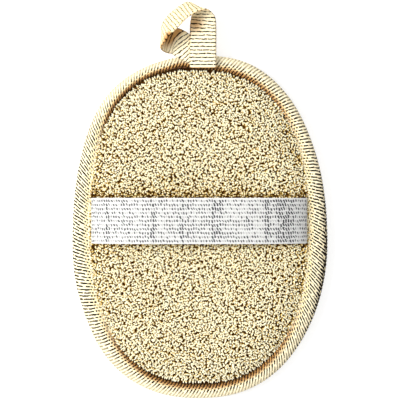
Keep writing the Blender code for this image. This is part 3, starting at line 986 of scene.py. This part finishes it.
class MakeHandStrap(bpy.types.Operator):
    """Carries a band of eleven woven cords along the strap's arch."""

    bl_idname = "bath_pad.hand_strap"
    bl_label = "Hand strap"

    def execute(self, context):
        strap = settings().strap
        x, z, along = strap_line(STRAP_STATIONS)
        slope = unit(joined(np.gradient(x), np.gradient(z)))
        up = joined(-slope[:, 1], slope[:, 0])
        half = strap.width / 2
        across = np.linspace(-half, half, strap.cords * CORD_STEPS + 1)
        rows = (across / strap.width + 0.5) * (strap.cords + 0.5) + 0.25
        cord = ridge(rows, 2.4)
        edge = clamp((half - np.abs(across)) / (0.35 * MM)) ** 0.5
        top = (strap.thickness - strap.cord_height * (1 - cord)) * (0.45 + 0.55 * edge)
        bottom = strap.thickness * 0.45 * (1 - edge)
        section_y = np.concatenate([across, across[::-1]])
        section_z = np.concatenate([top, bottom[::-1]])
        total = len(section_y)
        grown = np.clip(np.minimum(along, along[-1] - along) / (2 * MM), 0.35, 1)
        skin_x = x[:, None] + up[:, :1] * section_z * grown[:, None]
        skin_y = section_y + strap.offset + settings().pad.middle_y
        skin_z = z[:, None] + up[:, 1:] * section_z * grown[:, None]
        uv = joined(along[:, None], section_y + half) / MM
        piece = add_piece(
            "hand_strap_elastic",
            joined(skin_x, skin_y, skin_z),
            grid_faces(STRAP_STATIONS, total),
            strap_finish(),
            caps=end_caps(STRAP_STATIONS, total),
            uv=uv,
        )
        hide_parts("hand_strap")
        return {"FINISHED"}


class MakeHangingLoop(bpy.types.Operator):
    """Leads a length of the ribbed tape up, over to the left and back down behind itself, with one twist."""

    bl_idname = "bath_pad.hanging_loop"
    bl_label = "Hanging loop"

    def execute(self, context):
        loop = settings().loop
        middles = np.array([place for place, _ in LOOP_STATIONS]) * MM
        widths = unit(np.array([way for _, way in LOOP_STATIONS], float))
        places = run_along(middles)
        fine = np.linspace(0, places[-1], LOOP_SAMPLES)
        run = run_along(round_spline(places, middles, fine))
        ribs = round(run[-1] / loop.rib_pitch)
        stations = ribs * RIB_STATIONS + 1
        wanted = np.interp(np.linspace(0, run[-1], stations), run, fine)
        line = round_spline(places, middles, wanted)
        width = unit(round_spline(places, widths, wanted))
        along = unit(np.gradient(line, axis=0))
        width = unit(width - along * (width * along).sum(-1, keepdims=True))
        face = np.cross(width, along)
        count = np.linspace(0, ribs, stations)
        half = loop.width / 2
        across = np.linspace(-half, half, LOOP_ACROSS)
        round_edge = clamp((half - np.abs(across)) / (0.5 * MM)) ** 0.5
        thick = loop.thickness / 2 * (0.35 + 0.65 * round_edge)
        section_y = np.concatenate([across, across[::-1][1:-1]])
        section_z = np.concatenate([thick, -thick[::-1][1:-1]])
        share = np.linspace(0, 1, stations)[:, None]
        lean = LOOP_LEAN * clamp((share - 0.62) / 0.1)
        count = count[:, None] + lean * section_y / loop.rib_pitch
        rib = ridge(count, 2.4)
        lift = 1 - 2 * loop.rib_height / loop.thickness * (1 - rib)
        sidle = 1 - 0.16 * MM / half * (1 - rib)
        skin = (
            line[:, None]
            + width[:, None] * (section_y * sidle)[..., None]
            + face[:, None] * (section_z * lift)[..., None]
        )
        # Painted shade: brown along both rounded edges, under the top of the loop, on the back strand under
        # the strip, at the front end where it goes into the seam, and at the left fold.
        umber = 0.42 * (np.abs(section_y) > half - 0.5 * MM)[None]
        umber = umber + 0.55 * spot(skin, (-1.5, 89), (4.5, 4.8)) * (share < 0.4)
        for place in LOOP_SHADED:
            umber = umber + 0.55 * spot(skin, place, (2.4, 2.4)) * (share > 0.6)
        umber = umber + clamp(1 - share / 0.012)
        fold = spot(skin, (-15.0, 79.5), (3.6, 3.6)) * (share > 0.5)
        umber = umber + 0.4 * fold
        strip = clamp((share - 0.33) / 0.04) * clamp((0.68 - share) / 0.04)
        skin[..., 1] += settings().pad.middle_y
        total = len(section_y)
        piece = add_piece(
            "hanging_loop_tape",
            skin,
            grid_faces(stations, total),
            tape_finish("loop_cotton", 2.9, 0.70),
            caps=end_caps(stations, total),
            uv=joined(count, (section_y + half) / MM),
            umber=umber,
            inked=(1 - 0.2 * strip) * (1 - 0.8 * fold),
            dotted=np.broadcast_to(strip, skin.shape[:2]),
        )
        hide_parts("hanging_loop")
        return {"FINISHED"}


def mat_bottom(x, y):
    """The mat's underside: level in the middle, and curving up to the tape as the square of the way there."""
    run = clamp((inset_of(x, y) - MAT_EDGE) / MAT_BORDER)
    return MAT_RISE * (1 - run) ** 2


class MakeLoofahMat(bpy.types.Operator):
    """Presses the loofah mat and lays its net of plant fibres over the underside."""

    bl_idname = "bath_pad.loofah_mat"
    bl_label = "Loofah mat"

    def execute(self, context):
        loofah = settings().loofah
        pad = settings().pad
        mat = lens(
            "loofah_mat",
            loofah_mat_finish(),
            lambda x, y: mat_bottom(x, y) + loofah.thickness,
            lambda x, y: mat_bottom(x, y) + 0.55 * MM * (1 - fade(inset_of(x, y) - 8 * MM, 4)),
        )
        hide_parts("loofah_face")
        rng = np.random.default_rng(loofah.seed)
        count = loofah.fibres
        spread = np.sqrt(rng.uniform(0, 1, count))
        turn = rng.uniform(0, 2 * math.pi, count)
        x = np.cos(turn) * spread * (pad.width / 2 - 11 * MM)
        y = np.sin(turn) * spread * (pad.length / 2 - 11 * MM)
        heading = rng.normal(math.pi / 2, 0.75, count)
        reach = rng.uniform(3, 9, count) * MM
        bend = rng.normal(0, 0.35, count)
        t = np.linspace(-1, 1, FIBRE_POINTS)
        angle = heading[:, None] + bend[:, None] * t + 0.25 * np.sin(3 * t + turn[:, None])
        gap = reach[:, None] * (t[1] - t[0])
        shift_x = np.cumsum(np.cos(angle) * gap, 1)
        shift_y = np.cumsum(np.sin(angle) * gap, 1)
        middle = FIBRE_POINTS // 2
        line_x = x[:, None] + shift_x - shift_x[:, middle, None]
        line_y = y[:, None] + shift_y - shift_y[:, middle, None]
        kept = inset_of(line_x, line_y).min(1) > 8.6 * MM
        line_x, line_y = line_x[kept], line_y[kept]
        count = len(line_x)
        thick = loofah.fibre * rng.uniform(0.4, 1.0, count)
        level = rng.uniform(0, 1, count)[:, None]
        low = np.maximum(mat_bottom(line_x, line_y), 0) + thick[:, None] + level * 0.35 * MM
        weave = 0.12 * MM * (1 + np.sin(5 * t[None] + turn[kept][:, None]))
        lines = joined(line_x, line_y + pad.middle_y, low + weave)
        taper = 0.55 + 0.45 * np.sin(np.linspace(0.12, math.pi - 0.12, FIBRE_POINTS))
        radii = thick[:, None] * taper
        tone = rng.uniform(0, 1, count)
        piece = add_tubes("loofah_fibres", lines, UPWARDS, radii, loofah_fibre_finish(), 4, tone=tone)
        return {"FINISHED"}


class FinishFoam(bpy.types.Operator):
    """Gives the hidden foam sheet its finish."""

    bl_idname = "bath_pad.foam"
    bl_label = "Foam sheet"

    def execute(self, context):
        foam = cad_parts["foam_core"]
        foam.data.materials.clear()
        foam.data.materials.append(foam_finish().material)
        return {"FINISHED"}


class MakeStitches(bpy.types.Operator):
    """Sews the tape down with a row of stitches above and below."""

    bl_idname = "bath_pad.stitches"
    bl_label = "Stitches"

    def execute(self, context):
        count = STITCHES
        shares = (np.arange(count) + 0.5) / count
        t = np.linspace(-1, 1, STITCH_POINTS)
        _, _, _, girth = rim(np.zeros(1))
        fine = (shares[:, None] + t * 0.95 * MM / girth).ravel()
        points, _, growth, inset, height, _, _, groove = binding_profile(fine, 2 * BINDING_STEPS)
        groove = groove.reshape(count, len(t))[:, len(t) // 2]
        rows = []
        for place, lift in ((4, 1), (-4, -1)):
            flat = points * (1 - inset[:, place] * growth)[:, None]
            level = height[:, place] + lift * 0.02 * MM
            line = np.concatenate([flat, level[:, None]], 1).reshape(count, len(t), 3)
            line[..., 2] -= lift * 0.3 * MM * np.abs(t) ** 3
            rows.append(line)
        lines = np.concatenate(rows)
        lines[..., 1] += settings().pad.middle_y
        radii = np.broadcast_to(0.21 * MM * (1 - 0.35 * np.abs(t) ** 3), lines.shape[:2])
        # Painted shade: the upper stitches are coloured dark brown where the seam's groove is open.
        unshaded = np.concatenate([clamp(1 - 1.6 * groove), np.ones(count)])
        piece = add_tubes("stitches", lines, UPWARDS, radii, thread_finish(), 6, tone=unshaded)
        return {"FINISHED"}


def add_light(name, place, size, power, colour):
    """A square soft light that looks at the pad's middle."""
    light = bpy.data.lights.new(name, "AREA")
    light.size = size
    light.energy = power
    light.color = colour
    lamp = bpy.data.objects.new(name, light)
    lamp.location = place
    away = lamp.location.to_track_quat("Z", "Y")
    lamp.rotation_euler = away.to_euler()
    bpy.context.scene.collection.objects.link(lamp)


class MakeStage(bpy.types.Operator):
    """Sets the pale floor, the soft lights and the camera that looks straight down."""

    bl_idname = "bath_pad.stage"
    bl_label = "Floor, lights and camera"

    def execute(self, context):
        stage = settings().stage
        finish = Finish("pale_floor", Roughness=0.9, Base_Color=(0.5, 0.5, 0.5, 1))
        finish.shader.inputs["Emission Color"].default_value = (1, 1, 1, 1)
        finish.shader.inputs["Emission Strength"].default_value = 0.6
        mesh = bpy.data.meshes.new("floor")
        corners = ((-1, -1), (1, -1), (1, 1), (-1, 1))
        places = [(x * FLOOR_REACH, y * FLOOR_REACH, -FLOOR_DROP) for x, y in corners]
        mesh.from_pydata(places, [], [(0, 1, 2, 3)])
        floor = bpy.data.objects.new("floor", mesh)
        floor.data.materials.append(finish.material)
        context.scene.collection.objects.link(floor)
        world = bpy.data.worlds.new("soft_room")
        world.use_nodes = True
        world.node_tree.nodes["Background"].inputs["Color"].default_value = (1, 1, 1, 1)
        world.node_tree.nodes["Background"].inputs["Strength"].default_value = stage.sky
        context.scene.world = world
        add_light("key", (-0.63, 0.1, 0.79), 0.35, stage.key, (1.0, 0.99, 0.97))
        add_light("fill", (0.1, 0.1, 1.1), 0.8, stage.fill, (1.0, 1.0, 1.0))
        camera = bpy.data.cameras.new("camera")
        camera.lens = stage.lens
        camera.sensor_width = 36
        eye = bpy.data.objects.new("camera", camera)
        rim_height = 9 * MM
        distance = stage.picture_width * stage.lens / camera.sensor_width
        eye.location = (stage.middle_x, stage.middle_y, rim_height + distance)
        context.scene.collection.objects.link(eye)
        context.scene.camera = eye
        context.scene.view_settings.view_transform = "Standard"
        return {"FINISHED"}


class BathPadPanel(bpy.types.Panel):
    """Lists the steps that make the bath pad."""

    bl_idname = "VIEW3D_PT_bath_pad"
    bl_label = "Bath pad"
    bl_space_type = "VIEW_3D"
    bl_region_type = "UI"
    bl_category = "Bath pad"

    def draw(self, context):
        for step in STEPS:
            self.layout.operator(step.bl_idname)


STEPS = (
    MakeTerryGround,
    MakeTerryPile,
    MakeBindingTape,
    MakeHandStrap,
    MakeHangingLoop,
    MakeLoofahMat,
    FinishFoam,
    MakeStitches,
    MakeStage,
)
GROUPS = (
    PadSettings,
    TerrySettings,
    BindingSettings,
    StrapSettings,
    LoopSettings,
    LoofahSettings,
    StageSettings,
    BathPadSettings,
)


def register():
    for group in (*GROUPS, *STEPS, BathPadPanel):
        bpy.utils.register_class(group)
    bpy.types.Scene.bath_pad = PointerProperty(type=BathPadSettings)


def unregister():
    del bpy.types.Scene.bath_pad
    for group in reversed((*GROUPS, *STEPS, BathPadPanel)):
        bpy.utils.unregister_class(group)


def main():
    register()
    for step in STEPS:
        family, action = step.bl_idname.split(".")
        getattr(getattr(bpy.ops, family), action)()


if __name__ == "__main__":
    main()
